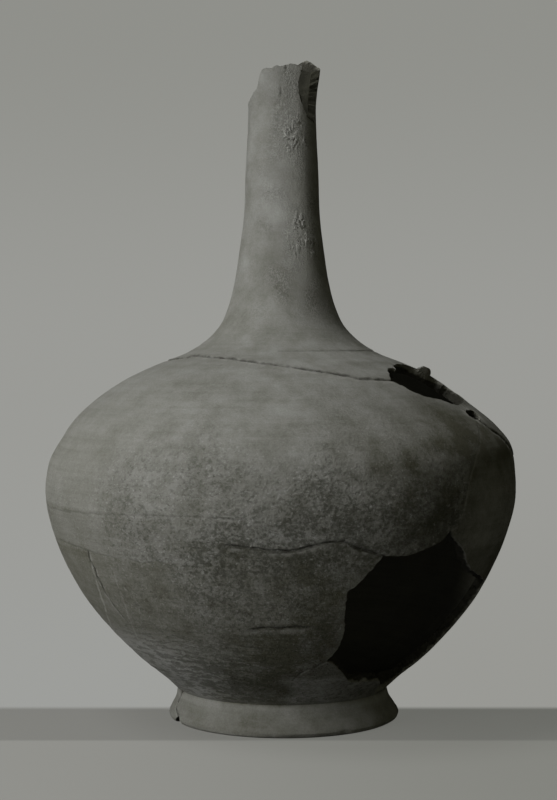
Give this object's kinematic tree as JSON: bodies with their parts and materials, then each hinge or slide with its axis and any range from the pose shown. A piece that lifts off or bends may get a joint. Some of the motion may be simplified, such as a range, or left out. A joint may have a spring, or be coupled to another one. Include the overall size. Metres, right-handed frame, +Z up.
{
  "type": "narrow-necked pottery jar",
  "caption": "Hollow round-bellied clay jar with a long narrow neck and a ring foot, its rim, shoulder and lower wall broken open.",
  "frame": {"origin": "centre of the ring foot's resting face, on the ground", "axes": "+Z up the neck; -Y towards the side with the large hole, which lies on the -Y, +X side; +X to the right seen from there"},
  "size_m": [0.2387, 0.2386, 0.337],
  "materials": {
    "clay": "unglazed fired clay, matt, worn and stained, with raw broken edges"
  },
  "bodies": {
    "root": {"jar": "clay"}
  },
  "joints": []
}
